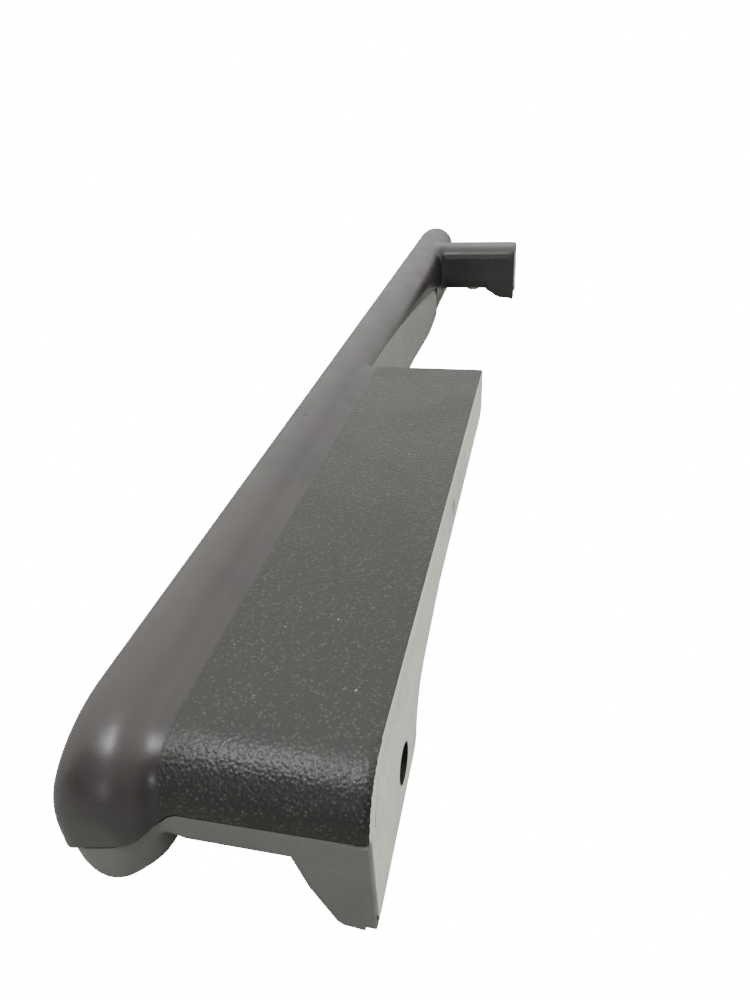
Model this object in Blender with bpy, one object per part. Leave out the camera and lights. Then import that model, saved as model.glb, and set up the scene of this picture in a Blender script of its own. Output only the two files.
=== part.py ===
"""Bow-type car door handle: a cover shell on a carrier, with a squeeze trigger behind the bar.

The frame: +X runs along the bar towards the end with the mounting lug, the mount plane is Y = 0
with the door on its +Y side, and +Z is up. The origin lies on the seat of the block.
All sizes below are in millimetres; the meshes are written in metres.
"""

import math

import bmesh
import bpy
from mathutils import Matrix, Vector

MM = 0.001
GAP = 0.3  # air left between two pieces that touch on the real handle
WALL = 2.5

# The bar that the hand goes round
BAR_NEAR_X = 60.2
BAR_FAR_X = -195.5
BAR_FRONT_Y = -37.6
BAR_REAR_Y = -25.0
BAR_TOP_Z = 6.9
BAR_BOTTOM_Z = -15.5
BAR_CORNER = 5.8
BAR_AXIS_Y = (BAR_FRONT_Y + BAR_REAR_Y) / 2
# How each end of the bar is rounded: radius in plan, then length and drop of the top and of the foot
NEAR_NOSE = (3.2, 14.1, 10.2, 13.0, 3.3)
FAR_NOSE = (6.2, 5.0, 5.0, 5.0, 3.5)
# The carrier is rounder in plan than the cover that it closes, so the cover stands proud of it
CARRIER_NEAR_NOSE = (5.3, 14.1, 10.2, 13.0, 3.3)
CARRIER_CORNER = 5.0

# The block between the bar and the door
BLOCK_NEAR_X = 57.5
BLOCK_FAR_X = -57.0
BLOCK_TOP_Z = 5.0
BLOCK_BOTTOM_Z = -4.75
BLOCK_NEAR_BOTTOM_Z = -6.5
BLOCK_NEAR_RADIUS = 8.5
BLOCK_FAR_RADIUS = 5.0
FLOOR_TOP_Z = -3.55

# The post at the far end
POST_X = -167.5
POST_WIDTH = 13.0
POST_TOP_Z = 6.5
POST_BOTTOM_Z = -8.0
POST_CORNER = 4.0
POST_SCREW_Y = -14.5
# Side view of the wavy foot below the post's end: y and z
FOOT_OUTLINE = (
    (-9.6, -4.0), (-9.6, -7.8), (-8.4, -8.3), (-5.9, -10.1), (-4.4, -10.6),
    (-2.2, -10.5), (-0.8, -11.1), (-0.2, -11.2), (0.0, -10.9), (0.0, -4.0),
)

# The seam between the cover and the carrier: y and z from the front of the bar to the seat
SEAM = (
    (-37.0, -8.7), (-33.7, -7.3), (-28.3, -5.8), (-26.6, -5.3),
    (-25.6, -4.7), (-24.4, -3.7), (-23.5, -2.9), (-22.4, -2.4), (0.0, -2.2),
)
SEAM_SEAT_Z = SEAM[-1][1]
SEAM_CHANGE_X = -153.0  # beyond this the seam is level
SEAM_FAR_Z = -9.0

# The seat
PAD_THICKNESS = 1.2
PAD_EDGE = 1.0  # how far the pad stays back from the edges of the lug
CARRIER_SEAT_Y = -PAD_THICKNESS - GAP
FLANGE_FRONT_Y = -3.2
LUG_NEAR_X = BLOCK_NEAR_X
LUG_FAR_X = 31.0
LUG_BOTTOM_Z = -18.4
LUG_FAR_BOTTOM_Z = -16.6
LUG_RIB = 2.5
LUG_INSERT = (40.0, -10.0)  # x and z of the threaded insert in the lug
POST_INSERT = (POST_X, -1.0)
INSERT_RADIUS = 3.0
INSERT_BORE = 2.1
INSERT_LENGTH = 6.5

# The trigger and what it turns on
PIVOT_X = -49.0
PIVOT_Y = -24.0
ARM_Z = -1.2
ARM_HEIGHT = 3.8
PADDLE_NEAR_X = -58.2
PADDLE_FAR_X = -150.5
PADDLE_TOP_Z = 3.7
PADDLE_TOP_DROP = 8.1  # how much lower the top edge is at the far end
PADDLE_RIDGE_Z = -8.3
PADDLE_BOTTOM_Z = -13.2
PADDLE_FRONT_Y = -27.4
PADDLE_REAR_Y = -25.0
PADDLE_SWELL = 0.9
PADDLE_SWELL_X = -131.0
PADDLE_SWELL_REACH = 30.0
SLOT_GAP = 0.45
TAIL_FRONT_Y = -19.0
TAIL_REAR_Y = -15.0
PIN_RADIUS = 1.5
HUB_RADIUS = 4.2

# The plunger that the tail pushes through the seat
PLUNGER_X = -8.0
GUIDE_NEAR_X = -2.0
GUIDE_FAR_X = -24.0
GUIDE_FRONT_Y = -10.0
GUIDE_TOP_Z = 1.3
PLUNGER_HEAD_Y = -13.6
PLUNGER_TIP_Y = -0.5

# Screws: x, y, bottom of the head, tip of the shank
SCREWS = (
    (47.0, BAR_AXIS_Y, -13.6, -1.0),
    (0.0, BAR_AXIS_Y, -13.6, -1.0),
    (-156.5, BAR_AXIS_Y, -13.6, -1.0),
    (POST_X, POST_SCREW_Y, -8.9, 2.0),
    (40.0, -14.0, -6.3, 1.4),
)
SCREW_HEAD_RADIUS = 2.5
SCREW_HEAD_HEIGHT = 1.5
SCREW_RADIUS = 1.3
SCREW_HOLE = SCREW_RADIUS + 0.2
BOSS_RADIUS = 3.1
BRACKET_SCREWS = ((-50.0, -10.0), (-38.0, -8.5))
BRACKET_BOTTOM_Z = 1.1
BRACKET_TOP_Z = 2.1

ROUND_SIDES = 20
FAR_AWAY = 60.0  # reach of a cutter past the part


def clear_scene():
    for old in list(bpy.data.objects):
        bpy.data.objects.remove(old, do_unlink=True)


def plain_material(name, colour, roughness, metallic=0.0):
    material = bpy.data.materials.new(name)
    material.use_nodes = True
    shader = material.node_tree.nodes["Principled BSDF"]
    shader.inputs["Base Color"].default_value = (*colour, 1.0)
    shader.inputs["Roughness"].default_value = roughness
    shader.inputs["Metallic"].default_value = metallic
    return material


def add_object(name, mesh_data, material=None):
    """Turn a bmesh in millimetres into an object in metres."""
    bmesh.ops.scale(mesh_data, vec=(MM, MM, MM), verts=mesh_data.verts)
    bmesh.ops.recalc_face_normals(mesh_data, faces=mesh_data.faces)
    mesh = bpy.data.meshes.new(name)
    mesh_data.to_mesh(mesh)
    mesh_data.free()
    thing = bpy.data.objects.new(name, mesh)
    bpy.context.scene.collection.objects.link(thing)
    if material:
        mesh.materials.append(material)
    return thing


def round_shading(thing):
    thing.data.shade_smooth()
    thing.data.set_sharp_from_angle(angle=math.radians(35))


def prism(name, outline, axis, low, high, material=None):
    """Extrude an outline along an axis: x takes (y, z) points, y takes (x, z), z takes (x, y)."""
    index = "xyz".index(axis)
    shape = bmesh.new()
    corners = []
    for a, b in outline:
        point = [a, b]
        point.insert(index, low)
        corners.append(shape.verts.new(point))
    base = shape.faces.new(corners)
    grown = bmesh.ops.extrude_face_region(shape, geom=[base])
    moved = [item for item in grown["geom"] if isinstance(item, bmesh.types.BMVert)]
    step = [0.0, 0.0, 0.0]
    step[index] = high - low
    bmesh.ops.translate(shape, vec=step, verts=moved)
    return add_object(name, shape, material)


def box(name, low, high, material=None):
    outline = [(low[0], low[1]), (high[0], low[1]), (high[0], high[1]), (low[0], high[1])]
    return prism(name, outline, "z", low[2], high[2], material)


def turned(name, profile, axis, centre, material=None, sides=ROUND_SIDES):
    """Turn (radius, height) points about an axis through the centre; heights run along it."""
    shape = bmesh.new()
    rings = []
    for radius, height in profile:
        ring = []
        for i in range(sides):
            angle = 2 * math.pi * i / sides
            ring.append(shape.verts.new((radius * math.cos(angle), radius * math.sin(angle), height)))
        rings.append(ring)
    closed = profile[0] == profile[-1]
    if closed:
        for vertex in rings[-1]:
            shape.verts.remove(vertex)
        rings[-1] = rings[0]
    for lower, upper in zip(rings, rings[1:]):
        for i in range(sides):
            j = (i + 1) % sides
            shape.faces.new((lower[i], lower[j], upper[j], upper[i]))
    if not closed:
        shape.faces.new(rings[0])
        shape.faces.new(rings[-1])
    turn = {"x": ("Y", 90), "y": ("X", -90), "z": ("Z", 0)}[axis]
    turning = Matrix.Rotation(math.radians(turn[1]), 4, turn[0])
    bmesh.ops.transform(shape, matrix=Matrix.Translation(centre) @ turning, verts=shape.verts)
    thing = add_object(name, shape, material)
    round_shading(thing)
    return thing


def rod(name, radius, axis, centre, low, high, material=None, sides=ROUND_SIDES):
    return turned(name, [(radius, low), (radius, high)], axis, centre, material, sides)


def ring(name, inner, outer, axis, centre, low, high, material=None, sides=ROUND_SIDES):
    profile = [(inner, low), (outer, low), (outer, high), (inner, high), (inner, low)]
    return turned(name, profile, axis, centre, material, sides)


def coil(name, radius, wire, turns, centre, low_y, high_y, material):
    """A compression spring along Y, with its two end turns closed up."""
    steps = 10
    sides = 6
    total = turns * steps
    shape = bmesh.new()
    rings = []
    for i in range(total + 1):
        share = i / total
        closing = 0.5 * (1 - math.cos(math.pi * share))
        height = low_y + wire + (high_y - low_y - 2 * wire) * (0.7 * share + 0.3 * closing)
        angle = 2 * math.pi * i / steps
        outward = Vector((math.cos(angle), 0.0, math.sin(angle)))
        along = Vector((0.0, 1.0, 0.0))
        middle = Vector((centre[0], height, centre[1])) + radius * outward
        turn = []
        for k in range(sides):
            spin = 2 * math.pi * k / sides
            turn.append(shape.verts.new(middle + wire * (math.cos(spin) * outward + math.sin(spin) * along)))
        rings.append(turn)
    for first, second in zip(rings, rings[1:]):
        for k in range(sides):
            m = (k + 1) % sides
            shape.faces.new((first[k], first[m], second[m], second[k]))
    shape.faces.new(rings[0])
    shape.faces.new(rings[-1])
    thing = add_object(name, shape, material)
    round_shading(thing)
    return thing


def combine(target, operation, *others):
    """Add or cut away other shapes, which then stay in the file as hidden helpers."""
    for other in others:
        modifier = target.modifiers.new(other.name, "BOOLEAN")
        modifier.operation = operation
        modifier.solver = "EXACT"
        modifier.object = other
        other.hide_render = True
        other.display_type = "WIRE"


def cut(target, *others):
    combine(target, "DIFFERENCE", *others)


def join(target, *others):
    combine(target, "UNION", *others)


def arc(centre, radius, start, end, steps=5):
    points = []
    for i in range(steps + 1):
        angle = math.radians(start + (end - start) * i / steps)
        points.append((centre[0] + radius * math.cos(angle), centre[1] + radius * math.sin(angle)))
    return points


def rounded_box(low, high, radius, steps=5):
    """Outline of a rectangle with four equal round corners, anticlockwise."""
    a = arc((high[0] - radius, high[1] - radius), radius, 0, 90, steps)
    b = arc((low[0] + radius, high[1] - radius), radius, 90, 180, steps)
    c = arc((low[0] + radius, low[1] + radius), radius, 180, 270, steps)
    d = arc((high[0] - radius, low[1] + radius), radius, 270, 360, steps)
    return a + b + c + d


# ---------------------------------------------------------------- shared outer forms


def round_off(distance, length):
    """How far a quarter circle of this length has still to go at a distance from the tip, 1 to 0."""
    if distance >= length:
        return 0.0
    return 1.0 - math.sqrt(1.0 - (1.0 - distance / length) ** 2)


def bar_section(distance, inset, nose, corner):
    """Section of the bar at a distance from one of its tips, shrunk by an inset."""
    half = (BAR_REAR_Y - BAR_FRONT_Y) / 2 - inset
    plan_radius, top_length, top_drop, foot_length, foot_drop = (size - inset for size in nose)
    half_here = half - plan_radius * round_off(distance, plan_radius)
    top = BAR_TOP_Z - inset - top_drop * round_off(distance, top_length)
    bottom = BAR_BOTTOM_Z + inset + foot_drop * round_off(distance, foot_length)
    radius = min(corner - inset, 0.98 * half_here)
    low = (BAR_AXIS_Y - half_here, bottom)
    high = (BAR_AXIS_Y + half_here, top)
    return rounded_box(low, high, radius)


def nose_steps(nose, inset):
    """Distances from the tip at which a nose gets a section, closest where it turns most."""
    plan_radius, top_length = nose[0] - inset, nose[1] - inset
    plan = [plan_radius * (1.0 - math.cos(math.radians(angle))) for angle in (6, 24, 42, 62, 90)]
    top = [top_length * (1.0 - math.cos(math.radians(angle))) for angle in (60, 75, 90)]
    return plan + [distance for distance in top if distance > plan_radius + 0.3]


def loft(name, sections, material=None):
    """One closed solid through (x, outline) sections that all have the same number of points."""
    shape = bmesh.new()
    rings = []
    for x, section in sections:
        rings.append([shape.verts.new((x, y, z)) for y, z in section])
    for first, second in zip(rings, rings[1:]):
        for i in range(len(first)):
            j = (i + 1) % len(first)
            shape.faces.new((first[i], first[j], second[j], second[i]))
    shape.faces.new(rings[0])
    shape.faces.new(rings[-1])
    thing = add_object(name, shape, material)
    round_shading(thing)
    return thing


def bar_form(name, inset, near_nose=NEAR_NOSE, corner=BAR_CORNER, material=None):
    """The smooth bar, round at both ends, as one solid."""
    sections = []
    for distance in nose_steps(near_nose, inset):
        sections.append((BAR_NEAR_X - inset - distance, bar_section(distance, inset, near_nose, corner)))
    for distance in reversed(nose_steps(FAR_NOSE, inset)):
        sections.append((BAR_FAR_X + inset + distance, bar_section(distance, inset, FAR_NOSE, corner)))
    return loft(name, sections, material)


def block_outline(inset=0.0, bottom=None):
    """Side view of the block: flat top, long round near end, round lower corner at the far end."""
    near = BLOCK_NEAR_X - inset
    far = BLOCK_FAR_X + inset
    top = BLOCK_TOP_Z - inset
    near_centre = (BLOCK_NEAR_X - BLOCK_NEAR_RADIUS, BLOCK_TOP_Z - BLOCK_NEAR_RADIUS)
    points = [(far, top)]
    points += list(reversed(arc(near_centre, BLOCK_NEAR_RADIUS - inset, 0, 90, 7)))
    if bottom is not None:
        return points + [(near, bottom), (far, bottom)]
    far_centre = (BLOCK_FAR_X + BLOCK_FAR_RADIUS, BLOCK_BOTTOM_Z + BLOCK_FAR_RADIUS)
    points += [(near, BLOCK_NEAR_BOTTOM_Z), (30.0, BLOCK_NEAR_BOTTOM_Z), (8.0, BLOCK_BOTTOM_Z)]
    points += list(reversed(arc(far_centre, BLOCK_FAR_RADIUS, 180, 270, 4)))
    return points


def below_seam(name, drop, side):
    """Everything below the seam (side -1) or above it (side +1), lowered by a drop."""
    reach = side * FAR_AWAY
    line = [(-FAR_AWAY, SEAM[0][1] - drop)]
    line += [(y, z - drop) for y, z in SEAM]
    line += [(FAR_AWAY, SEAM_SEAT_Z - drop), (FAR_AWAY, reach), (-FAR_AWAY, reach)]
    main = prism(name, line, "x", SEAM_CHANGE_X, BAR_NEAR_X + 10)
    level = [
        (-FAR_AWAY, SEAM_FAR_Z - drop),
        (FAR_AWAY, SEAM_FAR_Z - drop),
        (FAR_AWAY, reach),
        (-FAR_AWAY, reach),
    ]
    rest = prism(name + "_far", level, "x", BAR_FAR_X - 10, SEAM_CHANGE_X)
    return main, rest


def arm_passage(name, bottom):
    """Room for the trigger's arm where it goes from the bar into the block."""
    low = (BLOCK_FAR_X - 1.0, BAR_REAR_Y - WALL - 1.0, bottom)
    return box(name, low, (-38.0, BAR_REAR_Y + 0.1, BLOCK_TOP_Z - WALL))


def paddle_top(x):
    """Height of the paddle's top edge, which falls away towards the far end."""
    share = (PADDLE_NEAR_X - x) / (PADDLE_NEAR_X - PADDLE_FAR_X)
    return PADDLE_TOP_Z - PADDLE_TOP_DROP * share * share


def trigger_slot(name, front):
    """The long window in the back of the bar, from a front plane backwards."""
    far = PADDLE_FAR_X - 1.5
    bottom = PADDLE_BOTTOM_Z - SLOT_GAP
    steps = 12
    outline = [(far, bottom)]
    for i in range(steps + 1):
        x = far + (BLOCK_FAR_X - 0.4 - far) * i / steps
        outline.append((x, paddle_top(x) + SLOT_GAP))
    outline.append((BLOCK_FAR_X - 0.4, bottom))
    return prism(name, outline, "y", front, BAR_REAR_Y + 5.0)


# ---------------------------------------------------------------- the two mouldings


def make_outer_cover(black):
    """Bar, block and post as one thin moulding, open below and at the seat."""
    cover = bar_form("outer_cover", 0.0, material=black)
    block = prism("cover_block", block_outline(bottom=-9.0), "y", BAR_REAR_Y - 1.5, 0.0)
    post_low = (POST_X - POST_WIDTH / 2, POST_BOTTOM_Z)
    post_high = (POST_X + POST_WIDTH / 2, POST_TOP_Z)
    post_outline = rounded_box(post_low, post_high, POST_CORNER, 4)
    post = prism("cover_post", post_outline, "y", BAR_REAR_Y - 1.5, 0.0)
    foot_low = POST_X - POST_WIDTH / 2 + 0.2
    foot_high = POST_X + POST_WIDTH / 2 - 0.2
    foot = prism("cover_post_foot", FOOT_OUTLINE, "x", foot_low, foot_high)
    join(cover, block)
    cut(cover, *below_seam("cover_seam", 0.0, -1))
    join(cover, post, foot)
    inner_low = POST_X - POST_WIDTH / 2 + WALL
    inner_high = POST_X + POST_WIDTH / 2 - WALL
    post_room = box("cover_post_room", (inner_low, -28.0, -30.0), (inner_high, 5.0, POST_TOP_Z - WALL))
    block_room = prism("cover_block_room", block_outline(WALL, -20.0), "y", BAR_REAR_Y, 5.0)
    cut(cover, bar_form("cover_bar_room", WALL), block_room, post_room)
    for i, (x, y, _, tip) in enumerate(SCREWS):
        roof = BAR_TOP_Z - 1.0 if y < BAR_REAR_Y else BLOCK_TOP_Z - 1.0
        boss_end = {BAR_AXIS_Y: -8.0, POST_SCREW_Y: -2.6}.get(y, -3.2)
        boss = rod(f"cover_boss_{i + 1}", BOSS_RADIUS, "z", (x, y, 0), boss_end, roof)
        pilot = rod(f"cover_pilot_{i + 1}", SCREW_HOLE, "z", (x, y, 0), boss_end - 1, tip + GAP)
        join(cover, boss)
        cut(cover, pilot)
    cut(cover, trigger_slot("cover_slot", BAR_AXIS_Y))
    cut(cover, arm_passage("cover_passage", -20.0))
    return cover


def flange_outline(edge=0.0):
    """Outline of the seat seen along Y: the block's inside above the seam, and the lug below it.

    An edge draws the lug's near end and underside in by that much.
    """
    inset = WALL + GAP
    near_centre = (BLOCK_NEAR_X - BLOCK_NEAR_RADIUS, BLOCK_TOP_Z - BLOCK_NEAR_RADIUS)
    far_centre = (BLOCK_FAR_X + BLOCK_FAR_RADIUS, BLOCK_BOTTOM_Z + BLOCK_FAR_RADIUS)
    seam = SEAM_SEAT_Z - 0.5
    seam_angle = 180 + math.degrees(math.asin((far_centre[1] - seam) / BLOCK_FAR_RADIUS))
    points = [(BLOCK_FAR_X + inset, BLOCK_TOP_Z - inset)]
    points += list(reversed(arc(near_centre, BLOCK_NEAR_RADIUS - inset, 8, 90, 6)))
    near_corner = (LUG_NEAR_X - 1.2 - edge, LUG_BOTTOM_Z + 1.2 + edge)
    far_corner = (LUG_FAR_X + 2.5, LUG_FAR_BOTTOM_Z + 2.5 + edge)
    points += [(BLOCK_NEAR_X - inset, seam), (LUG_NEAR_X - edge, seam)]
    points += list(reversed(arc(near_corner, 1.2, 270, 360, 3)))
    points += list(reversed(arc(far_corner, 2.5, 180, 270, 3)))
    points += [(30.0, -11.0), (27.5, -8.5), (24.0, -7.2), (12.0, -5.3), (8.0, BLOCK_BOTTOM_Z)]
    points += list(reversed(arc(far_centre, BLOCK_FAR_RADIUS, seam_angle, 270, 4)))
    points += [(BLOCK_FAR_X + inset, seam)]
    return points


def rim_outline():
    """The thin rim that hides the pad's edge along the lug's near end and underside."""
    top = SEAM_SEAT_Z - 0.5
    width = PAD_EDGE - GAP
    end = LUG_FAR_X + 2.5
    outer = arc((LUG_NEAR_X - 1.2, LUG_BOTTOM_Z + 1.2), 1.2, 270, 360, 3)
    inner = arc((LUG_NEAR_X - 1.2 - width, LUG_BOTTOM_Z + 1.2 + width), 1.2, 270, 360, 3)
    points = [(LUG_NEAR_X, top)] + list(reversed(outer))
    points += [(end, LUG_FAR_BOTTOM_Z), (end, LUG_FAR_BOTTOM_Z + width)]
    return points + inner + [(LUG_NEAR_X - width, top)]


def lug_rib(name, x, bottom):
    """Triangular rib between the lug and the floor of the block."""
    outline = [
        (-9.4, -6.0), (-7.6, -11.5), (-4.8, bottom + 1.1), (-4.0, bottom + 0.5),
        (CARRIER_SEAT_Y, bottom + 0.2), (CARRIER_SEAT_Y, -6.0),
    ]
    return prism(name, outline, "x", x, x + LUG_RIB)


def make_carrier(grey):
    """Lower moulding: floor of bar and block, seat flange, lug and the arm inside the post."""
    carrier = bar_form("carrier", 0.0, CARRIER_NEAR_NOSE, CARRIER_CORNER, grey)
    block = prism("carrier_block", block_outline(), "y", BAR_REAR_Y - 1.5, CARRIER_SEAT_Y)
    join(carrier, block)
    cut(carrier, *below_seam("carrier_seam", GAP, 1))
    low = (BLOCK_FAR_X + WALL, BAR_REAR_Y, FLOOR_TOP_Z)
    high = (BLOCK_NEAR_X - WALL, FLANGE_FRONT_Y, 20.0)
    bar_room = bar_form("carrier_bar_room", WALL, CARRIER_NEAR_NOSE, CARRIER_CORNER)
    cut(carrier, bar_room, box("carrier_block_room", low, high))
    cut(carrier, trigger_slot("carrier_slot", BAR_FRONT_Y + WALL))
    cut(carrier, arm_passage("carrier_passage", FLOOR_TOP_Z))
    flange = prism("carrier_flange", flange_outline(), "y", FLANGE_FRONT_Y - 0.1, CARRIER_SEAT_Y)
    rim = prism("carrier_rim", rim_outline(), "y", CARRIER_SEAT_Y - 0.5, -0.2)
    lug_x, lug_z = LUG_INSERT
    lug_boss = rod("carrier_lug_boss", 4.8, "y", (lug_x, 0, lug_z), -9.6, -2.0)
    near_rib = lug_rib("carrier_rib_near", LUG_NEAR_X - LUG_RIB, LUG_BOTTOM_Z)
    far_rib = lug_rib("carrier_rib_far", LUG_FAR_X, LUG_FAR_BOTTOM_Z)
    join(carrier, flange, rim, lug_boss, near_rib, far_rib)
    pin_seat = rod("carrier_pin_seat", 3.8, "z", (PIVOT_X, PIVOT_Y + 0.6, 0), -8.0, FLOOR_TOP_Z)
    join(carrier, pin_seat)
    for i, (x, y) in enumerate(BRACKET_SCREWS):
        join(carrier, rod(f"carrier_stand_{i + 1}", 2.4, "z", (x, y, 0), -4.0, BRACKET_BOTTOM_Z - GAP))
    make_post_arm(carrier)
    for i, (x, y, head, _) in enumerate(SCREWS):
        if y == BAR_AXIS_Y:
            join(carrier, rod(f"carrier_boss_{i + 1}", BOSS_RADIUS, "z", (x, y, 0), -13.0, -8.0 - GAP))
        bore = [
            (SCREW_HEAD_RADIUS + 0.4, head - 3),
            (SCREW_HEAD_RADIUS + 0.4, head + SCREW_HEAD_HEIGHT + GAP),
            (SCREW_HOLE, head + SCREW_HEAD_HEIGHT + GAP),
            (SCREW_HOLE, head + 14),
        ]
        cut(carrier, turned(f"carrier_bore_{i + 1}", bore, "z", (x, y, 0)))
    for i, (x, y) in enumerate(BRACKET_SCREWS):
        cut(carrier, rod(f"carrier_thread_{i + 1}", 1.3, "z", (x, y, 0), -3.0, 5.0))
    cut(carrier, rod("carrier_pin_hole", PIN_RADIUS + 0.2, "z", (PIVOT_X, PIVOT_Y, 0), -6.9, 5.0))
    guide_low = (GUIDE_FAR_X - GAP, GUIDE_FRONT_Y - GAP, -20.0)
    cut(carrier, box("carrier_guide_room", guide_low, (GUIDE_NEAR_X + GAP, 5.0, GUIDE_TOP_Z + 5.0)))
    for i, (x, z) in enumerate((LUG_INSERT, POST_INSERT)):
        hole = rod(f"carrier_insert_hole_{i + 1}", INSERT_RADIUS + 0.3, "y", (x, 0, z), -8.6, 5.0)
        cut(carrier, hole)
    return carrier


def make_post_arm(carrier):
    """The arm of the carrier that lies inside the post, and the block for its threaded insert."""
    half = POST_WIDTH / 2 - WALL - GAP
    root = box("carrier_arm_root", (POST_X - half, -34.0, -12.5), (POST_X + half, -27.0, -3.0))
    arm_bottom = POST_BOTTOM_Z + 0.4
    arm = box("carrier_arm", (POST_X - half, -28.0, arm_bottom), (POST_X + half, -8.0, -3.0))
    end_low = (POST_X - half, POST_SCREW_Y + 4.5, arm_bottom)
    end = box("carrier_arm_end", end_low, (POST_X + half, CARRIER_SEAT_Y, POST_TOP_Z - WALL - GAP))
    join(carrier, root, arm, end)


# ---------------------------------------------------------------- seat pads and inserts


def make_pads(foam):
    pad = prism("block_pad", flange_outline(PAD_EDGE), "y", -PAD_THICKNESS, 0.0, foam)
    room = box(
        "pad_guide_room",
        (GUIDE_FAR_X - 0.2, -10.0, -20.0),
        (GUIDE_NEAR_X + 0.2, 5.0, GUIDE_TOP_Z + 0.2),
    )
    lug_x, lug_z = LUG_INSERT
    cut(pad, room, rod("pad_lug_hole", 2.6, "y", (lug_x, 0, lug_z), -10.0, 5.0))
    half = POST_WIDTH / 2 - WALL - GAP
    outline = [
        (POST_X - half, POST_BOTTOM_Z + 0.6),
        (POST_X + half, POST_BOTTOM_Z + 0.6),
        (POST_X + half, POST_TOP_Z - WALL - GAP),
        (POST_X - half, POST_TOP_Z - WALL - GAP),
    ]
    post_pad = prism("post_pad", outline, "y", -PAD_THICKNESS, 0.0, foam)
    hole_x, hole_z = POST_INSERT
    cut(post_pad, rod("pad_post_hole", 2.6, "y", (hole_x, 0, hole_z), -10.0, 5.0))


def make_inserts(brass):
    rear = CARRIER_SEAT_Y - GAP
    front = rear - INSERT_LENGTH
    for name, (x, z) in (("lug_insert", LUG_INSERT), ("post_insert", POST_INSERT)):
        profile = [
            (INSERT_BORE, front),
            (INSERT_RADIUS - 0.4, front),
            (INSERT_RADIUS, front + 0.6),
            (INSERT_RADIUS, front + 2.6),
            (INSERT_RADIUS - 0.4, front + 3.0),
            (INSERT_RADIUS - 0.4, front + 3.6),
            (INSERT_RADIUS, front + 4.0),
            (INSERT_RADIUS, rear),
            (INSERT_BORE + 0.4, rear),
            (INSERT_BORE, rear - 0.4),
            (INSERT_BORE, front),
        ]
        turned(name, profile, "y", (x, 0, z), brass)


# ---------------------------------------------------------------- trigger


def paddle_section(x):
    """Section of the paddle: flush with the bar at the top, a soft ridge, and a proud lower edge."""
    away = abs(x - PADDLE_SWELL_X) / PADDLE_SWELL_REACH
    swell = PADDLE_SWELL * math.cos(math.pi * min(away, 1.0) / 2) ** 2
    top = paddle_top(x)
    edge = max(0.0, top - BAR_TOP_Z + BAR_CORNER)
    flush = PADDLE_REAR_Y - BAR_CORNER + math.sqrt(BAR_CORNER**2 - edge**2)
    rear = PADDLE_REAR_Y + swell
    middle = 0.6 * top + 0.4 * PADDLE_RIDGE_Z
    return [
        (PADDLE_FRONT_Y, PADDLE_BOTTOM_Z + 0.5),
        (PADDLE_FRONT_Y + 0.8, PADDLE_BOTTOM_Z),
        (rear - 0.9, PADDLE_BOTTOM_Z),
        (rear - 0.1, PADDLE_BOTTOM_Z + 0.7),
        (rear, PADDLE_RIDGE_Z - 1.0),
        (rear - 0.05, PADDLE_RIDGE_Z),
        (0.5 * (rear + flush), middle),
        (flush - 0.2, top - 0.8),
        (flush - 0.6, top),
        (PADDLE_FRONT_Y, top),
    ]


def paddle_sections():
    """Sections from the near end to the far end; the last ones draw in to round the end off."""
    steps = 14
    sections = []
    for i in range(steps + 1):
        x = PADDLE_NEAR_X + (PADDLE_FAR_X + 1.0 - PADDLE_NEAR_X) * i / steps
        sections.append((x, paddle_section(x)))
    end = paddle_section(PADDLE_FAR_X)
    centre_y = sum(y for y, _ in end) / len(end)
    centre_z = sum(z for _, z in end) / len(end)
    drawn_in = [(centre_y + 0.6 * (y - centre_y), centre_z + 0.8 * (z - centre_z)) for y, z in end]
    sections.append((PADDLE_FAR_X, drawn_in))
    return sections


def arm_outline():
    """Plan view of the rocker: from inside the paddle, round the pivot, along the tail."""
    return [
        (PADDLE_NEAR_X - 3.0, PADDLE_FRONT_Y + 0.2),
        (PIVOT_X, PIVOT_Y - HUB_RADIUS + 0.4),
        (PIVOT_X + 4.0, PIVOT_Y - 1.5),
        (PIVOT_X + 11.0, TAIL_FRONT_Y),
        (PLUNGER_X + 3.5, TAIL_FRONT_Y),
        (PLUNGER_X + 3.5, TAIL_REAR_Y),
        (PIVOT_X + 9.0, TAIL_REAR_Y),
        (PIVOT_X + 2.0, PIVOT_Y + 4.0),
        (PIVOT_X - 3.0, PIVOT_Y + 1.0),
        (PIVOT_X - 4.5, PADDLE_REAR_Y - 0.4),
        (PADDLE_NEAR_X - 3.0, PADDLE_REAR_Y - 0.4),
    ]


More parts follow.
